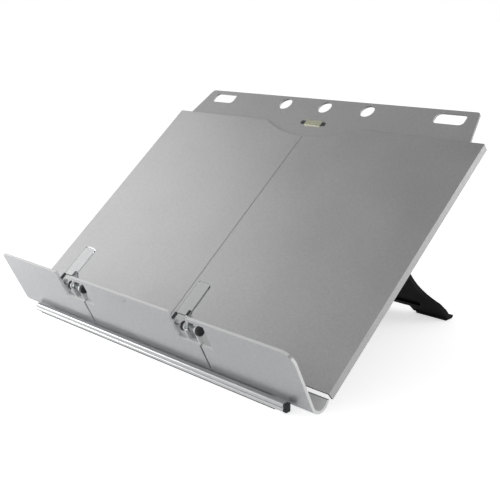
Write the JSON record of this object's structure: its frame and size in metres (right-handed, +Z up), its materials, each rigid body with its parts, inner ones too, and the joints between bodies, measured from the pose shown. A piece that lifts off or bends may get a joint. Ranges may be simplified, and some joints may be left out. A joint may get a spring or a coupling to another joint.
{
  "type": "desk copy stand",
  "caption": "Folding desk stand: tilted panel with groove, top carry strip, front trough ledge with page fingers, hinged rear leg.",
  "frame": {"origin": "middle of the underside of the rubber sole under the front rail, on the table", "axes": "+X across the stand to its right, +Y from the front edge to the back, +Z up"},
  "size_m": [0.34, 0.2551, 0.1785],
  "materials": {
    "silver_plastic": "silver-pigmented ABS, satin",
    "grey_plastic": "darker silver-grey ABS, fine texture",
    "badge_plastic": "pale blank badge",
    "graphite_plastic": "graphite ABS, spark-eroded texture",
    "black_plastic": "black ABS, satin",
    "washer_plastic": "natural nylon",
    "clear_plastic": "clear polycarbonate",
    "rubber": "black rubber",
    "steel": "zinc-plated steel"
  },
  "bodies": {
    "stand": {"front_panel": "silver_plastic", "top_strip": "grey_plastic", "badge_plate": "badge_plastic", "back_shell": "graphite_plastic", "shell_screws": "steel", "base_plate": "steel", "plate_screws": "steel", "front_rail": "silver_plastic", "rail_screws": "steel", "rail_cap_left": "silver_plastic", "rail_cap_right": "black_plastic", "rail_sole": "rubber", "ledge_rod": "steel", "rod_rings": "black_plastic", "leg_bracket_left": "graphite_plastic", "leg_bracket_right": "graphite_plastic", "bracket_screws": "steel", "leg_pin_left": "steel", "leg_pin_right": "steel"},
    "ledge": {"ledge_tray": "silver_plastic", "clip_block_left": "silver_plastic", "clip_block_right": "silver_plastic", "clip_screws": "steel", "clip_spring_left": "steel", "clip_spring_right": "steel"},
    "finger_left": {"page_finger_left": "clear_plastic", "finger_pin_left": "steel", "finger_knob_left": "black_plastic", "finger_collar_left": "black_plastic", "finger_cap_left": "black_plastic"},
    "finger_right": {"page_finger_right": "clear_plastic", "finger_pin_right": "steel", "finger_knob_right": "black_plastic", "finger_collar_right": "black_plastic", "finger_cap_right": "black_plastic"},
    "leg": {"rear_leg": "black_plastic", "leg_washers": "washer_plastic", "foot_pad_left": "rubber", "foot_pad_right": "rubber"}
  },
  "joints": [
    {"name": "ledge_fold", "type": "hinge", "parent": "stand", "child": "ledge", "pos_m": [0, 0.01059, 0.0114], "axis": [1, 0, 0], "range_deg": [-45, 0]},
    {"name": "finger_left_tilt", "type": "hinge", "parent": "ledge", "child": "finger_left", "pos_m": [-0.0647, -0.00792, 0.03965], "axis": [1, 0, 0], "range_deg": [0, 75], "stiffness_Nm_per_rad": 0.02, "springref_deg": -28.65},
    {"name": "finger_right_tilt", "type": "hinge", "parent": "ledge", "child": "finger_right", "pos_m": [0.0727, -0.00792, 0.03965], "axis": [1, 0, 0], "range_deg": [0, 75], "stiffness_Nm_per_rad": 0.02, "springref_deg": -28.65},
    {"name": "leg_fold", "type": "hinge", "parent": "stand", "child": "leg", "pos_m": [0, 0.14072, 0.09986], "axis": [1, 0, 0], "range_deg": [-93.2, 0]}
  ]
}
